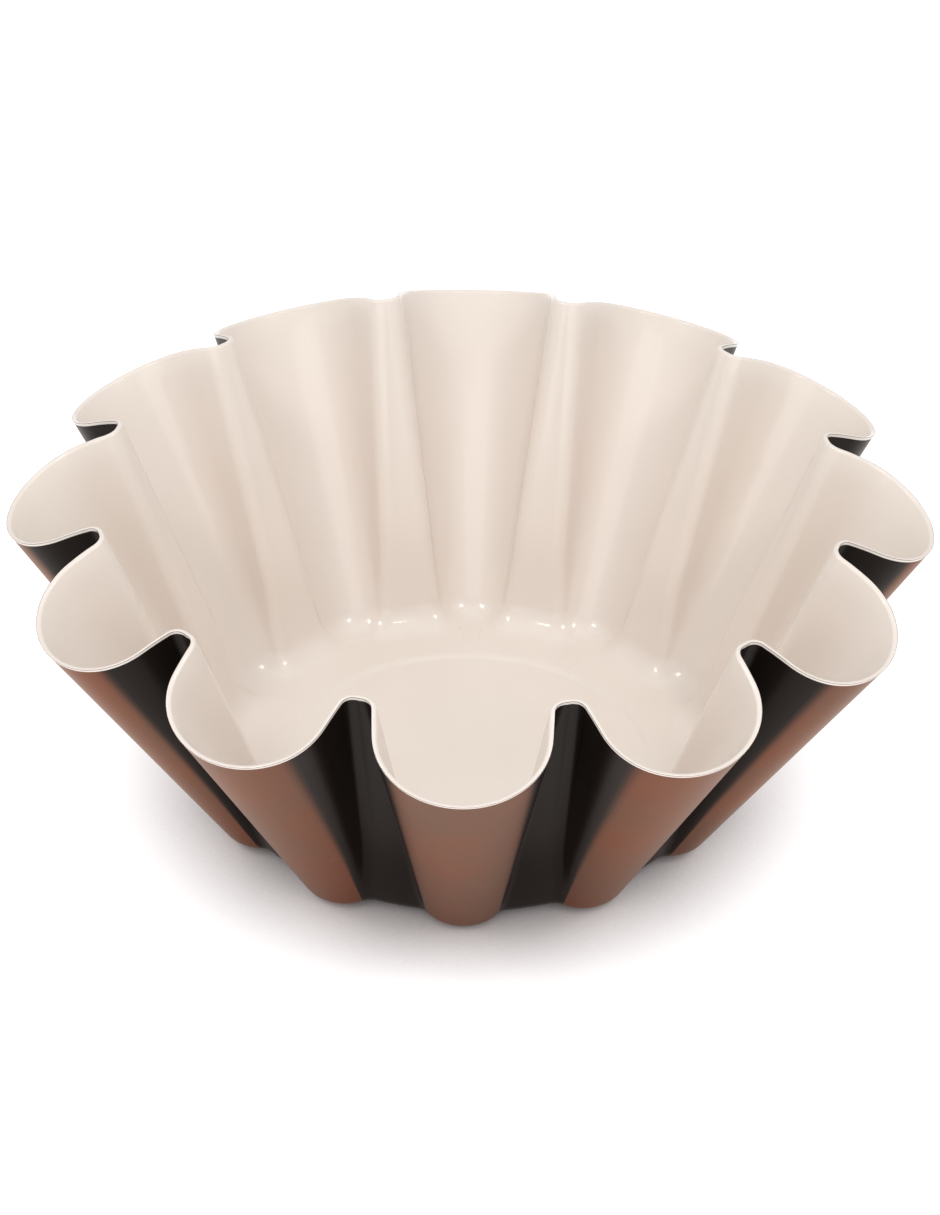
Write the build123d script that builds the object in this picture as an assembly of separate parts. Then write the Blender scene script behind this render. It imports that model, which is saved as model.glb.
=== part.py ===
from build123d import *
import os
from math import acos, atan2, cos, degrees, radians, sin, sqrt, tan

os.makedirs("parts", exist_ok=True)

# Flutes: round lobes with narrow valleys between them
lobe_count = 12
full_turn = 360.0
half_turn = full_turn / 2
quarter_turn = full_turn / 4
pitch = full_turn / lobe_count

# Plan of the wall at the height of the rim valleys
rim_height = 90.5
rim_lobe_centre = 105.6
rim_lobe_radius = 22.2
rim_lobe_half = 106.5
rim_blend_radius = 4.4

# Plan of the wall where it meets the floor
floor_lobe_centre = 58.9
floor_lobe_radius = 10.9
floor_blend_radius = 2.4
floor_valley_radius = 65.0
pinch_radius = 0.05

# The corner between wall and floor, as narrow flats round a radius
floor_corner = 7.0
corner_flats = 2

# The rim is trimmed to a shallow dome, so it dips at every lobe
dome_radius = 237.0
trim_allowance = 0.5

# Thickness of the pressed sheet and of the lining inside it
sheet_thickness = 1.0
lining_thickness = 0.25
wall_thickness = sheet_thickness + lining_thickness

# Sunken panel in the middle of the floor, on which the mould stands
panel_radius = 50.0
panel_depth = 0.8
panel_step = 1.6


def towards(bearing):
    return Vector(cos(radians(bearing)), sin(radians(bearing)))


def mirrored(point):
    return Vector(point.X, -point.Y)


# At the floor a lobe, a pinch and a blend close a triangle with the mould's axis
pinch_end = Vector(floor_lobe_centre, 0) + towards(rim_lobe_half) * 2 * pinch_radius
blend_reach = floor_valley_radius + floor_blend_radius
lobe_to_blend = floor_lobe_radius + floor_blend_radius - 2 * pinch_radius
pinch_angle = acos(
    (blend_reach**2 - pinch_end.length**2 - lobe_to_blend**2)
    / (2 * pinch_end.length * lobe_to_blend)
)
floor_lobe_half = degrees(pinch_angle + atan2(pinch_end.Y, pinch_end.X))
floor_blend_centre = pinch_end + towards(floor_lobe_half) * lobe_to_blend
valley_start = degrees(atan2(floor_blend_centre.Y, floor_blend_centre.X))

# At the rim the valley arc is centred on the line midway between two lobes
rim_blend_centre = Vector(rim_lobe_centre, 0)
rim_blend_centre += towards(rim_lobe_half) * (rim_lobe_radius + rim_blend_radius)
midway = towards(pitch / 2)
offset_from_midway = rim_blend_centre.X * midway.Y - rim_blend_centre.Y * midway.X
rim_valley_arc = offset_from_midway / sin(radians(pitch / 2 - valley_start)) - rim_blend_radius
rim_valley_centre = rim_blend_centre - towards(valley_start) * (rim_blend_radius + rim_valley_arc)
rim_valley_radius = rim_valley_centre.length + rim_valley_arc

# The inner edge of each rim valley reaches the full height
dome_centre = rim_height - sqrt(dome_radius**2 - (rim_valley_radius - wall_thickness) ** 2)

# Under this level line no lobe is trimmed, and the wall strips end on it
level_height = dome_centre + sqrt(dome_radius**2 - (rim_lobe_centre + rim_lobe_radius) ** 2)

# The wall leans most at a lobe and least in a valley
lobe_run = rim_lobe_centre + rim_lobe_radius - floor_lobe_centre - floor_lobe_radius
valley_run = rim_valley_radius - floor_valley_radius
wall_rise = rim_height - panel_depth
wall_lean = degrees(atan2((lobe_run + valley_run) / 2, wall_rise))


# Every arc keeps its angles from floor to rim, so that each strip of wall is a cone
def fluted_outline(height, inset):
    share_of_height = (height - panel_depth) / wall_rise

    def along_wall(at_floor, at_rim):
        return at_floor + (at_rim - at_floor) * share_of_height

    lobe = along_wall(floor_lobe_radius, rim_lobe_radius) - inset
    flank = along_wall(pinch_radius, rim_lobe_radius - inset)
    upper_blend = along_wall(pinch_radius, rim_blend_radius + inset)
    lower_blend = along_wall(floor_blend_radius, rim_blend_radius) + inset
    valley = along_wall(floor_valley_radius, rim_valley_arc) - inset

    lobe_centre = Vector(along_wall(floor_lobe_centre, rim_lobe_centre), 0)
    flank_centre = lobe_centre + towards(floor_lobe_half) * (lobe - flank)
    upper_centre = flank_centre + towards(rim_lobe_half) * (flank + upper_blend)
    lower_centre = upper_centre + towards(floor_lobe_half) * (lower_blend - upper_blend)
    valley_centre = lower_centre - towards(valley_start) * (lower_blend + valley)
    flank_sweep = rim_lobe_half - floor_lobe_half
    blend_sweep = floor_lobe_half - valley_start

    one_flute = [
        CenterArc(mirrored(lower_centre), lower_blend, half_turn - valley_start, -blend_sweep),
        CenterArc(mirrored(upper_centre), upper_blend, half_turn - floor_lobe_half, -flank_sweep),
        CenterArc(mirrored(flank_centre), flank, -rim_lobe_half, flank_sweep),
        CenterArc(lobe_centre, lobe, -floor_lobe_half, 2 * floor_lobe_half),
        CenterArc(flank_centre, flank, floor_lobe_half, flank_sweep),
        CenterArc(upper_centre, upper_blend, half_turn + rim_lobe_half, -flank_sweep),
        CenterArc(lower_centre, lower_blend, half_turn + floor_lobe_half, -blend_sweep),
        CenterArc(valley_centre, valley, valley_start, pitch - 2 * valley_start),
    ]
    arcs = [Rot(0, 0, pitch * number) * arc for number in range(lobe_count) for arc in one_flute]
    return Pos(0, 0, height) * make_face(arcs)


# The space the mould fills, out to a skin that lies "inset" inside the outer face
def fluted_fill(inset):
    corner = floor_corner - inset
    corner_turn = quarter_turn - wall_lean
    flat_turn = corner_turn / (corner_flats + 1)
    half_flat = corner * tan(radians(flat_turn / 2))
    from_edge = corner * tan(radians(corner_turn / 2)) - half_flat

    # Follows the flats up from the floor, then the wall that leans out behind them
    bottom = panel_depth + inset
    outlines = [fluted_outline(bottom, inset + from_edge)]
    rise = 0
    run = from_edge
    for number in range(1, corner_flats):
        rise += 2 * half_flat * sin(radians(flat_turn * number))
        run -= 2 * half_flat * cos(radians(flat_turn * number))
        behind = run + rise * tan(radians(wall_lean))
        outlines.append(fluted_outline(bottom + rise, inset + behind))
    outlines.append(fluted_outline(bottom + from_edge * cos(radians(wall_lean)), inset))
    outlines.append(fluted_outline(level_height, inset))
    outlines.append(fluted_outline(rim_height + trim_allowance, inset))

    panel = Pos(0, 0, inset) * Cone(
        panel_radius - panel_step,
        panel_radius,
        panel_depth,
        align=(Align.CENTER, Align.CENTER, Align.MIN),
    )
    return loft(outlines, ruled=True) + panel


# Everything under the rim dome, lowered by "depth"
def below_rim(depth):
    return Pos(0, 0, dome_centre) * Sphere(dome_radius - depth)


outer_fill = fluted_fill(0)
lining_fill = fluted_fill(sheet_thickness)
hollow = fluted_fill(wall_thickness)

# The pressed sheet stops just short of the finished rim
pressed_shell = (outer_fill & below_rim(lining_thickness)) - lining_fill

# The lining covers the inside and closes over the edge of the sheet
ceramic_lining = (outer_fill & below_rim(0)) - hollow - pressed_shell

nodes = {
    "pressed_shell": pressed_shell,
    "ceramic_lining": ceramic_lining,
}
for name, solid in nodes.items():
    export_step(solid, f"parts/{name}.step")
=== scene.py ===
from math import acos, atan2, cos, degrees, pi, radians, sin, tan

import bmesh
import bpy
from mathutils import Matrix, Vector


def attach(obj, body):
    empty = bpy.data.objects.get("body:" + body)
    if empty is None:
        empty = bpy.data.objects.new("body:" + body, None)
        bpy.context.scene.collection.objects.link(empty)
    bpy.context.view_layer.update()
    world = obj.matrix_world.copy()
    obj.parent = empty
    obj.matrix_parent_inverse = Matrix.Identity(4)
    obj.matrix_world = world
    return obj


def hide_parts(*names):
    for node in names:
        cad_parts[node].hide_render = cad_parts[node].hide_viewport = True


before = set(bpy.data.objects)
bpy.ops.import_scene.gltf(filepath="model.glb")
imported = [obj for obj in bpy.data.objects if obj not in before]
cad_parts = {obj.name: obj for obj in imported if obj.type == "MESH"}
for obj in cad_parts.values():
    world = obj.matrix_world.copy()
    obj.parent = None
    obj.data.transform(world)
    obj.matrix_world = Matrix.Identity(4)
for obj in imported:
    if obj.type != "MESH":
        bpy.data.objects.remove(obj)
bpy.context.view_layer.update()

# Sizes in metres, angles in degrees
MM = 0.001

# Flutes: round lobes with narrow valleys between them
LOBES = 12
PITCH = 360 / LOBES

# Plan of the wall at the height of the rim valleys
RIM_HEIGHT = 90.5 * MM
RIM_LOBE_CENTRE = 105.6 * MM
RIM_LOBE_RADIUS = 22.2 * MM
RIM_LOBE_HALF = 91.0
RIM_STRAIGHT = 8.5 * MM
RIM_BLEND_RADIUS = 3.2 * MM

# Plan of the wall where it meets the floor
FLOOR_LOBE_CENTRE = 58.9 * MM
FLOOR_LOBE_RADIUS = 10.9 * MM
FLOOR_FLANK_RADIUS = 1.6 * MM
FLOOR_STRAIGHT = 0.2 * MM
FLOOR_BLEND_RADIUS = 3.2 * MM
FLOOR_VALLEY_RADIUS = 65.0 * MM

# A flank turns in fully at this share of the height, and hardly at all at the floor,
# so the crease beside a lobe fades out towards the foot
FULL_TURN_AT = 0.32
FLOOR_TURN = 0.1

# Corner between wall and floor, outside and on the lining
CORNER_RADIUS = 7.0 * MM
LINING_CORNER = 9.5 * MM

# Thickness of the pressed sheet, of the lining inside it, and of the film it leaves outside
SHEET = 1.0 * MM
LINING = 0.25 * MM
WALL = SHEET + LINING
FILM = 0.03 * MM

# The rim dips at every lobe; its lip is rounded, and the lining wraps down outside it
RIM_DIP = 12.25 * MM
RIM_DIP_POWER = 1.25
RIM_TIP_RADIUS = 120.0 * MM
LIP_ROUND = 0.5 * MM
WRAP = 1.2 * MM
WRAP_FEATHER = 0.1 * MM

# Sunken panel in the floor, with three quarters of its step inside the panel's radius
PANEL_RADIUS = 50.0 * MM
PANEL_DEPTH = 0.8 * MM
PANEL_STEP = 2.6 * MM
STEP_INSIDE = 0.75

# How finely each part of the section is cut
STEP_RINGS = 8
FLOOR_RINGS = 3
CORNER_RINGS = 10
WALL_RINGS = 14
LIP_RINGS = 8

# How finely each arc of a flute is cut
ARC_STEP = 4.0
LEAST_STEPS = 2
FLANK_STEPS = 9
STRAIGHT_STEPS = 4

# The rim line is closed in on by small steps
RIM_TRIES = 24
RIM_STEP = 0.6

# How far round a lobe the painted groove shade starts to darken the lacquer, and over what
# turn; all that lies past the flank counts as deep in the groove
GROOVE_SHADE_AT_RIM = 46.0
GROOVE_SHADE_AT_FOOT = 56.0
GROOVE_SHADE_FADE = 14.0
IN_GROOVE = 180.0


def towards(bearing):
    return Vector((cos(radians(bearing)), sin(radians(bearing)), 0))


def eased(share):
    share = min(1.0, max(0.0, share))
    return share * share * (3 - 2 * share)


# At the floor a lobe and a blend close a triangle with the mould's axis
blend_reach = FLOOR_VALLEY_RADIUS + FLOOR_BLEND_RADIUS
lobe_to_blend = FLOOR_LOBE_RADIUS + FLOOR_BLEND_RADIUS
LOBE_HALF = degrees(
    acos(
        (blend_reach**2 - FLOOR_LOBE_CENTRE**2 - lobe_to_blend**2)
        / (2 * FLOOR_LOBE_CENTRE * lobe_to_blend)
    )
)
LOBE_HALF_COSINE = cos(radians(LOBE_HALF))
FLANK_TURN = RIM_LOBE_HALF - LOBE_HALF
floor_blend = Vector((FLOOR_LOBE_CENTRE, 0, 0)) + towards(LOBE_HALF) * lobe_to_blend
VALLEY_START = degrees(atan2(floor_blend.y, floor_blend.x))
VALLEY_HALF_SINE = sin(radians(PITCH / 2 - VALLEY_START))


# A valley arc is centred midway between two lobes: how far from its blend's centre
def valley_reach(blend_centre):
    midway = towards(PITCH / 2)
    from_midway = blend_centre.x * midway.y - blend_centre.y * midway.x
    return from_midway / VALLEY_HALF_SINE


# How far out the valleys stand at the rim
rim_blend = Vector((RIM_LOBE_CENTRE, 0, 0))
rim_blend += towards(RIM_LOBE_HALF) * (RIM_LOBE_RADIUS + RIM_BLEND_RADIUS)
rim_blend += towards(RIM_LOBE_HALF + 90) * RIM_STRAIGHT
rim_reach = valley_reach(rim_blend)
rim_valley = rim_blend - towards(VALLEY_START) * rim_reach
RIM_VALLEY_RADIUS = rim_valley.length + rim_reach - RIM_BLEND_RADIUS

# The wall leans most at a lobe and least in a valley
WALL_RISE = RIM_HEIGHT - PANEL_DEPTH
lobe_run = RIM_LOBE_CENTRE + RIM_LOBE_RADIUS - FLOOR_LOBE_CENTRE - FLOOR_LOBE_RADIUS
LOBE_LEAN = degrees(atan2(lobe_run, WALL_RISE))
VALLEY_LEAN = degrees(atan2(RIM_VALLEY_RADIUS - FLOOR_VALLEY_RADIUS, WALL_RISE))


class Column:
    """One line up the wall, on one arc of one flute.

    "along" is in degrees on the lobe, lower and valley arcs. It is a share of the turn on
    the flank and upper arcs, and a share of the length on the straight.
    """

    def __init__(self, arc, along, flute, side):
        self.arc = arc
        self.along = along
        self.turn = Matrix.Rotation(radians(PITCH * flute), 3, "Z")
        self.side = side
        self.round_lobe = IN_GROOVE
        if arc == "lobe":
            self.round_lobe = along
        if arc == "flank":
            self.round_lobe = LOBE_HALF + FLANK_TURN * along
        facing = (cos(radians(self.round_lobe)) - LOBE_HALF_COSINE) / (1 - LOBE_HALF_COSINE)
        self.lean = VALLEY_LEAN + (LOBE_LEAN - VALLEY_LEAN) * max(0.0, facing)

    # From nought on the nose of a lobe to one in the groove: how much painted shade darkens the
    # lacquer here
    def groove_shade(self, height):
        start = GROOVE_SHADE_AT_FOOT + (GROOVE_SHADE_AT_RIM - GROOVE_SHADE_AT_FOOT) * height / RIM_HEIGHT
        return eased((self.round_lobe - start) / GROOVE_SHADE_FADE)

    # The point at this height, "inset" inside the outer face
    def at(self, height, inset):
        share = (height - PANEL_DEPTH) / WALL_RISE

        def along_wall(at_floor, at_rim):
            return at_floor + (at_rim - at_floor) * share

        lobe = along_wall(FLOOR_LOBE_RADIUS, RIM_LOBE_RADIUS) - inset
        flank = along_wall(FLOOR_FLANK_RADIUS, RIM_LOBE_RADIUS - inset)
        straight = along_wall(FLOOR_STRAIGHT, RIM_STRAIGHT)
        upper = along_wall(FLOOR_FLANK_RADIUS, RIM_BLEND_RADIUS + inset)
        lower = along_wall(FLOOR_BLEND_RADIUS, RIM_BLEND_RADIUS) + inset
        turned = FLANK_TURN * (FLOOR_TURN + (1 - FLOOR_TURN) * eased(share / FULL_TURN_AT))
        across = towards(LOBE_HALF + turned)
        inwards = towards(LOBE_HALF + turned + 90)

        # The arcs follow each other from the lobe's nose to the middle of the valley
        centre = Vector((along_wall(FLOOR_LOBE_CENTRE, RIM_LOBE_CENTRE), 0, 0))
        if self.arc == "lobe":
            point = centre + towards(self.along) * lobe
        centre += towards(LOBE_HALF) * (lobe - flank)
        if self.arc == "flank":
            point = centre + towards(LOBE_HALF + turned * self.along) * flank
        if self.arc == "straight":
            point = centre + across * flank + inwards * straight * self.along
        centre += across * (flank + upper) + inwards * straight
        if self.arc == "upper":
            point = centre - towards(LOBE_HALF + turned * self.along) * upper
        centre += towards(LOBE_HALF) * (lower - upper)
        if self.arc == "lower":
            point = centre - towards(self.along) * lower
        if self.arc == "valley":
            reach = valley_reach(centre)
            centre -= towards(VALLEY_START) * reach
            point = centre + towards(self.along) * (reach - lower)
        point.y *= self.side
        point.z = height
        return self.turn @ point

    # The height where the wall meets the dipping rim line, lowered by "depth"
    def under_rim(self, inset, depth):
        height = RIM_HEIGHT
        for _ in range(RIM_TRIES):
            past_valley = self.at(height, inset).to_2d().length + inset - RIM_VALLEY_RADIUS
            out = max(0.0, past_valley) / (RIM_TIP_RADIUS - RIM_VALLEY_RADIUS)
            aim = RIM_HEIGHT - RIM_DIP * out**RIM_DIP_POWER - depth
            height += (aim - height) * RIM_STEP
        return height


# Half a flute as arcs with their start, end and count of steps; nought goes by ARC_STEP
HALF_FLUTE = (
    ("lobe", 0, LOBE_HALF, 0),
    ("flank", 0, 1, FLANK_STEPS),
    ("straight", 0, 1, STRAIGHT_STEPS),
    ("upper", 1, 0, FLANK_STEPS),
    ("lower", LOBE_HALF, VALLEY_START, 0),
    ("valley", VALLEY_START, PITCH / 2, 0),
)


def arc_columns(arc, start, end, count, flute, side):
    count = count or max(LEAST_STEPS, round(abs(end - start) / ARC_STEP))
    steps = [start + (end - start) * step / count for step in range(count)]
    return [Column(arc, along, flute, side) for along in steps]


# From mid-valley to the lobe's nose on one side, and on to mid-valley on the other
def flute_columns(flute):
    made = []
    for arc, start, end, count in reversed(HALF_FLUTE):
        made += arc_columns(arc, end, start, count, flute, -1)
    for arc, start, end, count in HALF_FLUTE:
        made += arc_columns(arc, start, end, count, flute, 1)
    return made


columns = [column for flute in range(LOBES) for column in flute_columns(flute)]


# The place at this radius and height, straight in from a point of the corner
def straight_in(point, radius, height):
    inner = point.to_2d().normalized() * radius
    return Vector((inner.x, inner.y, height))


# Sunken panel, its soft step, and the flat floor out to the corner
def floor_rings(inset):
    corner = corner_ring(inset, 0)
    rings = []
    for step in range(STEP_RINGS + 1):
        share = step / STEP_RINGS
        radius = PANEL_RADIUS + PANEL_STEP * (share - STEP_INSIDE)
        height = inset + PANEL_DEPTH * (1 - cos(pi * share)) / 2
        rings.append([straight_in(point, radius, height) for point in corner])
    edge = rings[-1]
    for step in range(1, FLOOR_RINGS):
        share = step / FLOOR_RINGS
        rings.append([near.lerp(far, share) for near, far in zip(edge, corner)])
    return rings


# The rounded corner between floor and wall, "share" of the way up it
def corner_ring(inset, share):
    radius = LINING_CORNER if inset == WALL else CORNER_RADIUS - inset
    ring = []
    for column in columns:
        turn = radians(90 - column.lean)
        run = radius * tan(turn / 2) - radius * sin(turn * share)
        rise = radius * (1 - cos(turn * share))
        behind = run + rise * tan(radians(column.lean))
        ring.append(column.at(PANEL_DEPTH + inset + rise, inset + behind))
    return ring


def corner_rings(inset):
    return [corner_ring(inset, step / CORNER_RINGS) for step in range(CORNER_RINGS + 1)]


# Straight up the wall to "depth" under the rim line
def wall_rings(inset, depth):
    start = [point.z for point in corner_ring(inset, 1)]
    end = [column.under_rim(inset, depth) for column in columns]
    rings = []
    for step in range(1, WALL_RINGS + 1):
        share = step / WALL_RINGS
        heights = [low + (high - low) * share for low, high in zip(start, end)]
        rings.append([column.at(height, inset) for column, height in zip(columns, heights)])
    return rings


def rim_ring(inset, depth):
    return [column.at(column.under_rim(inset, depth), inset) for column in columns]


# A half round over the top of the wall
def lip_rings(inner, outer):
    middle = (inner + outer) / 2
    half = (inner - outer) / 2
    rings = []
    for step in range(1, LIP_RINGS):
        angle = pi * step / LIP_RINGS
        rings.append(rim_ring(middle + half * cos(angle), LIP_ROUND * (1 - sin(angle))))
    return rings


# A face that is seen, from the middle of the floor up to the rim
def skin_rings(inset, depth):
    return floor_rings(inset) + corner_rings(inset) + wall_rings(inset, depth)


# A face that is hidden, from the rim back to the middle, with only two rings in the floor
def hidden_rings(inset, depth):
    in_floor = floor_rings(inset)
    in_floor = [in_floor[STEP_RINGS], in_floor[0]]
    return wall_rings(inset, depth)[::-1] + corner_rings(inset)[::-1] + in_floor


# A closed piece: a disc grown outwards ring by ring, the last ring closed by a disc
def ringed_piece(name, rings):
    form = bmesh.new()
    bmesh.ops.create_circle(form, cap_ends=True, segments=len(columns), radius=PANEL_RADIUS)
    # Each corner carries how much painted groove shade darkens the lacquer there
    groove_shade = form.verts.layers.float.new("groove_shade")

    def settle(corners, ring):
        for corner, place, column in zip(corners, ring, columns):
            corner.co = place
            corner[groove_shade] = column.groove_shade(place.z)

    edges = list(form.edges)
    corners = list(form.verts)
    settle(corners, rings[0])
    bmesh.ops.poke(form, faces=list(form.faces))
    for ring in rings[1:]:
        grown = bmesh.ops.extrude_edge_only(form, edges=edges)["geom"]
        edges = [part for part in grown if isinstance(part, bmesh.types.BMEdge)]
        fresh = set(part for part in grown if isinstance(part, bmesh.types.BMVert))

        def grown_from(corner):
            ends = [edge.other_vert(corner) for edge in corner.link_edges]
            return next(end for end in ends if end in fresh)

        corners = [grown_from(corner) for corner in corners]
        settle(corners, ring)
    cap = bmesh.ops.holes_fill(form, edges=edges, sides=0)["faces"]
    bmesh.ops.poke(form, faces=cap)
    bmesh.ops.recalc_face_normals(form, faces=form.faces)

    mesh = bpy.data.meshes.new(name)
    form.to_mesh(mesh)
    form.free()
    mesh.shade_smooth()
    piece = bpy.data.objects.new(name, mesh)
    bpy.context.collection.objects.link(piece)
    return piece


# The sheet: up its outside, over its edge and back down its hidden inside. A ring close
# under the edge keeps the turn of the edge out of the wall's smooth shading
def pressed_sheet():
    outside = skin_rings(0, 2 * LINING) + [rim_ring(0, LINING)]
    return ringed_piece("lacquered_sheet", outside + hidden_rings(SHEET, LINING))


# The lining: over the whole inside, round the lip, a little way down the outside, and back
# behind itself along the sheet
def lining_skin():
    inside = skin_rings(WALL, LIP_ROUND) + lip_rings(WALL, -FILM)
    wrap = [rim_ring(-FILM, LIP_ROUND), rim_ring(-FILM, WRAP - WRAP_FEATHER)]
    wrap += [rim_ring(0, WRAP), rim_ring(FILM, WRAP), rim_ring(FILM, LIP_ROUND)]
    return ringed_piece("ceramic_skin", inside + wrap + hidden_rings(SHEET + FILM, LIP_ROUND))


class Socket:
    """A shader socket that can be used in sums and products."""

    def __init__(self, paint, link):
        self.paint = paint
        self.link = link

    def sum_with(self, other, operation, swapped=False):
        first, second = (other, self) if swapped else (self, other)
        return self.paint.node("ShaderNodeMath", {"operation": operation}, {0: first, 1: second})

    def __add__(self, other):
        return self.sum_with(other, "ADD")

    def __radd__(self, other):
        return self.sum_with(other, "ADD", swapped=True)

    def __sub__(self, other):
        return self.sum_with(other, "SUBTRACT")

    def __rsub__(self, other):
        return self.sum_with(other, "SUBTRACT", swapped=True)

    def __mul__(self, other):
        return self.sum_with(other, "MULTIPLY")

    def __rmul__(self, other):
        return self.sum_with(other, "MULTIPLY", swapped=True)


class Paint:
    """One material and the nodes that make its finish."""

    def __init__(self, name):
        self.material = bpy.data.materials.new(name)
        self.material.use_nodes = True
        self.tree = self.material.node_tree
        self.tree.nodes.clear()

    def node(self, kind, settings=None, values=None, output=0):
        made = self.tree.nodes.new(kind)
        for name, value in (settings or {}).items():
            setattr(made, name, value)
        for name, value in (values or {}).items():
            if isinstance(value, Socket):
                self.tree.links.new(value.link, made.inputs[name])
            else:
                made.inputs[name].default_value = value
        return Socket(self, made.outputs[output])

    # Blotches of this size in metres, from nought to one
    def cloud(self, size, detail=2.0, roughness=0.5):
        return self.node(
            "ShaderNodeTexNoise",
            values={
                "Vector": self.node("ShaderNodeTexCoord", output="Object"),
                "Scale": 1 / size,
                "Detail": detail,
                "Roughness": roughness,
            },
        )

    # Two colours mixed by a socket from nought to one; a Mix node's colour sockets share
    # their names with its other sockets, so they go by number
    def blend(self, share, first, second):
        return self.node(
            "ShaderNodeMix",
            {"data_type": "RGBA"},
            {0: share, 6: first, 7: second},
            output=2,
        )

    # Turns the span of a socket's values into nought to one
    def between(self, value, span):
        low, high = span
        return self.node(
            "ShaderNodeMapRange",
            {"interpolation_type": "SMOOTHSTEP"},
            {"Value": value, "From Min": low, "From Max": high},
        )

    def bumps(self, height, strength, distance):
        return self.node(
            "ShaderNodeBump",
            values={"Height": height, "Strength": strength, "Distance": distance},
        )

    def finish(self, surface):
        end = self.tree.nodes.new("ShaderNodeOutputMaterial")
        self.tree.links.new(surface.link, end.inputs["Surface"])
        return self.material


# Lining: cream tones, and the faint specks and orange peel of a sprayed coat. Here and
# below a pattern has the size of its blotches, and the span over which they fade in
CREAM = (0.80, 0.72, 0.655, 1)
DEEP_CREAM = (0.78, 0.70, 0.63, 1)
SPECK_BROWN = (0.6, 0.52, 0.44, 1)
PATCH_SIZE = 60 * MM
PATCH_SPAN = (0.35, 0.65)
SPECK_SIZE = 0.7 * MM
SPECK_SPAN = (0.72, 0.8)
SPECK_SHARE = 0.08
CREAM_ROUGHNESS = 0.34
PATCH_ROUGHNESS = 0.08
PEEL_SIZE = 2.5 * MM
PEEL_STRENGTH = 0.04
PEEL_HEIGHT = 0.1 * MM

# Lacquer: bronze tones, metal flake, rubbed spots, and painted shade that darkens the grooves
BRONZE = (0.172, 0.064, 0.039, 1)
DULL_BRONZE = (0.142, 0.069, 0.047, 1)
RUBBED_BRONZE = (0.24, 0.13, 0.095, 1)
# Painted shade: the near black that the grooves are darkened to, with less metal there
PAINTED_GROOVE_SHADE = (0.007, 0.0042, 0.0032, 1)
WARM_SHEEN = (0.87, 0.71, 0.6, 1)
BLOTCH_SIZE = 35 * MM
BLOTCH_SPAN = (0.35, 0.65)
RUB_SIZE = 9 * MM
RUB_SPAN = (0.62, 0.75)
RUB_SHARE = 0.3
BRONZE_METAL = 0.6
GROOVE_SHADE_METAL_LOSS = 0.5
BRONZE_ROUGHNESS = 0.30
FLAKE_ROUGHNESS = 0.08
RUB_ROUGHNESS = 0.05
FLAKE_SIZE = 0.5 * MM
FLAKE_STRENGTH = 0.12
FLAKE_HEIGHT = 0.05 * MM

# Table: white, a little warmer in the soft shadow round the foot
WHITE = (1, 1, 1, 1)
BLACK = (0, 0, 0, 1)
WARM_WHITE = (1, 0.88, 0.86, 1)
TABLE_GREY = (0.3, 0.29, 0.29, 1)
SHADOW_REACH = 50 * MM
SHADOW_SPAN = (0.0, 0.8)
SHADOW_SAMPLES = 16


# Sprayed ceramic: creamy, glossy, with faint orange peel and a few duller patches
def cream_ceramic():
    paint = Paint("cream_ceramic")
    patches = paint.between(paint.cloud(PATCH_SIZE), PATCH_SPAN)
    peel = paint.cloud(PEEL_SIZE, detail=1.0)
    speck = paint.between(paint.cloud(SPECK_SIZE, detail=0.0), SPECK_SPAN)
    tone = paint.blend(patches, DEEP_CREAM, CREAM)
    surface = paint.node(
        "ShaderNodeBsdfPrincipled",
        values={
            "Base Color": paint.blend(speck * SPECK_SHARE, tone, SPECK_BROWN),
            "Roughness": CREAM_ROUGHNESS + patches * PATCH_ROUGHNESS,
            "Coat Weight": 0.55,
            "Coat Roughness": 0.08,
            "Normal": paint.bumps(peel, PEEL_STRENGTH, PEEL_HEIGHT),
        },
    )
    return paint.finish(surface)


# Satin bronze lacquer: fine metal flake, warm blotches, a few rubbed spots, and painted shade
# darkening the grooves
def bronze_lacquer():
    paint = Paint("bronze_lacquer")
    blotch = paint.between(paint.cloud(BLOTCH_SIZE), BLOTCH_SPAN)
    flake = paint.cloud(FLAKE_SIZE, detail=1.0)
    rub = paint.between(paint.cloud(RUB_SIZE, detail=4.0, roughness=0.7), RUB_SPAN)
    groove_shade = paint.node("ShaderNodeAttribute", {"attribute_name": "groove_shade"}, output="Fac")
    tone = paint.blend(blotch, BRONZE, DULL_BRONZE)
    tone = paint.blend(rub * RUB_SHARE, tone, RUBBED_BRONZE)
    surface = paint.node(
        "ShaderNodeBsdfPrincipled",
        values={
            # Painted shade: towards the grooves the colour darkens to near black and the metal
            # lessens
            "Base Color": paint.blend(groove_shade, tone, PAINTED_GROOVE_SHADE),
            "Metallic": BRONZE_METAL - groove_shade * GROOVE_SHADE_METAL_LOSS,
            "Specular IOR Level": 0.12,
            "Specular Tint": WARM_SHEEN,
            "Roughness": BRONZE_ROUGHNESS + flake * FLAKE_ROUGHNESS + rub * RUB_ROUGHNESS,
            "Normal": paint.bumps(flake, FLAKE_STRENGTH, FLAKE_HEIGHT),
        },
    )
    return paint.finish(surface)


# White table: its glow dims close to the mould, so a soft shadow lies round the foot
def white_floor():
    paint = Paint("white_floor")
    openness = paint.node(
        "ShaderNodeAmbientOcclusion",
        {"samples": SHADOW_SAMPLES},
        {"Distance": SHADOW_REACH},
        output="AO",
    )
    openness = paint.between(openness, SHADOW_SPAN)
    tint = paint.blend(openness, WARM_WHITE, WHITE)
    shaded = paint.blend(openness, BLACK, tint)
    glow = paint.node("ShaderNodeEmission", values={"Color": shaded, "Strength": 1.0})
    lit = paint.node("ShaderNodeBsdfDiffuse", values={"Color": TABLE_GREY})
    return paint.finish(paint.node("ShaderNodeAddShader", values={0: lit, 1: glow}))


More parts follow.
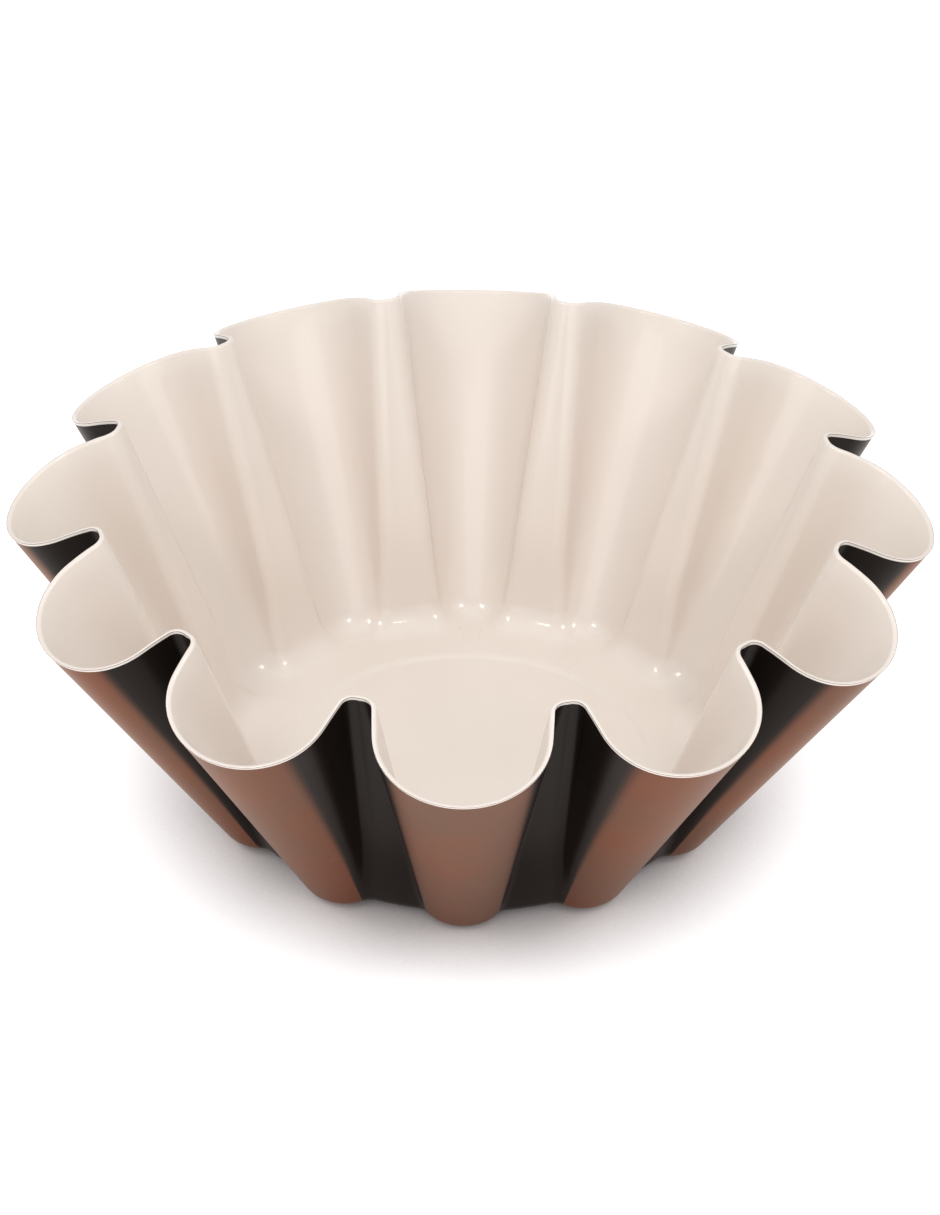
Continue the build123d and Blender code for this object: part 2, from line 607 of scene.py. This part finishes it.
def wear(piece, material):
    piece.data.materials.clear()
    piece.data.materials.append(material)


def put_on(piece, node, material):
    wear(piece, material)
    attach(piece, "root")
    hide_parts(node)


put_on(pressed_sheet(), "pressed_shell", bronze_lacquer())
put_on(lining_skin(), "ceramic_lining", cream_ceramic())

# Floor
FLOOR_SIZE = 12.0
bpy.ops.mesh.primitive_plane_add(size=FLOOR_SIZE)
floor = bpy.context.object
floor.name = "floor"
wear(floor, white_floor())

# World
WORLD_LIGHT = 0.74
world = bpy.data.worlds.new("studio")
bpy.context.scene.world = world
world.use_nodes = True
background = world.node_tree.nodes["Background"]
background.inputs["Color"].default_value = WHITE
background.inputs["Strength"].default_value = WORLD_LIGHT

# Lamps: name, place, width, height and watts, all turned to the middle of the mould
LAMPS = (
    ("soft_top", (0.0, 0.1, 1.6), 1.2, 1.0, 2.2),
    ("soft_front", (-0.1, -1.7, 0.75), 1.6, 0.9, 5.6),
    ("left_box", (-0.735, -0.483, 1.413), 0.3, 0.3, 4.2),
    ("right_box", (0.735, -0.483, 1.413), 0.3, 0.3, 4.2),
)
LAMP_AIM = Vector((0, 0, 50 * MM))


# Puts a lamp or the camera in its place, looking back along "away"
def looking_from(place, away):
    turn = away.to_track_quat("Z", "Y").to_matrix().to_4x4()
    return Matrix.Translation(place) @ turn


def hang_lamp(name, place, width, height, watts):
    light = bpy.data.lights.new(name, "AREA")
    light.shape = "RECTANGLE"
    light.size = width
    light.size_y = height
    light.energy = watts
    holder = bpy.data.objects.new(name, light)
    bpy.context.collection.objects.link(holder)
    holder.matrix_world = looking_from(place, Vector(place) - LAMP_AIM)


for lamp in LAMPS:
    hang_lamp(*lamp)

# Camera, with its angles in radians and its lens and sensor in millimetres
ELEVATION = 0.6072
ORBIT = 0.0112
ROLL = 0.0120
DISTANCE = 1108.3 * MM
AIM = Vector((0.24 * MM, 0, 52.4 * MM))
LENS = 125.4
SENSOR = 36.0
lens = bpy.data.cameras.new("camera")
lens.sensor_fit = "VERTICAL"
lens.sensor_height = SENSOR
lens.lens = LENS
camera = bpy.data.objects.new("camera", lens)
bpy.context.collection.objects.link(camera)
level = cos(ELEVATION)
back = Vector((level * sin(ORBIT), -level * cos(ORBIT), sin(ELEVATION)))
roll = Matrix.Rotation(ROLL, 4, "Z")
camera.matrix_world = looking_from(AIM + back * DISTANCE, back) @ roll
bpy.context.scene.camera = camera

bpy.context.scene.view_settings.view_transform = "Standard"
